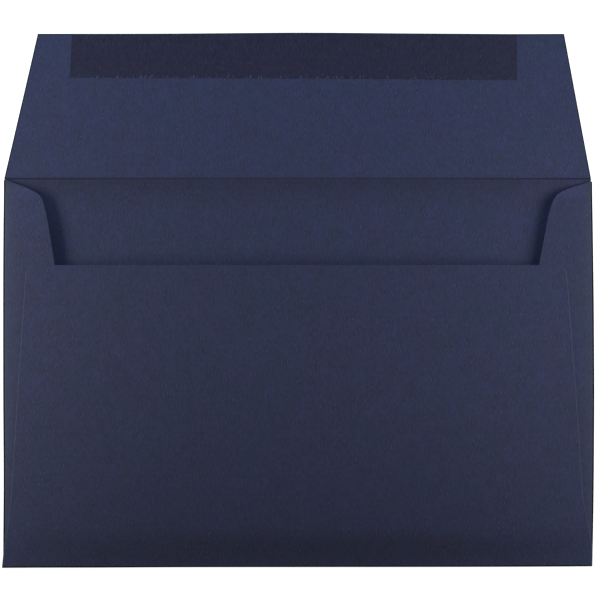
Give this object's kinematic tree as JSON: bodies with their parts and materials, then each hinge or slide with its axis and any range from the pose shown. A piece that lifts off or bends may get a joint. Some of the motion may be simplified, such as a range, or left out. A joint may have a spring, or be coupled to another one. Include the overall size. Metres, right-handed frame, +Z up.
{
  "type": "paper envelope",
  "caption": "Navy paper envelope lying open on its back: tapered seal flap with a dried gum strip, rounded side flaps and a glued front panel that makes a shallow pocket.",
  "frame": {"origin": "on the surface that the back rests on, below the middle of the whole outline, with the seal flap laid open", "axes": "+X to the right across the pocket with the seal side up, +Y from the bottom fold towards the free edge of the seal flap, +Z up from the back, out of the seal side"},
  "size_m": [0.2222, 0.2002, 0.0066],
  "materials": {
    "navy_paper": "uncoated, fine fibres",
    "seam_glue": "dried adhesive film",
    "dried_gum": "dried remoistenable gum, semi-gloss"
  },
  "bodies": {
    "root": {"envelope_sheet": "navy_paper", "left_seam_glue": "seam_glue", "right_seam_glue": "seam_glue", "seal_gum_strip": "dried_gum"}
  },
  "joints": []
}
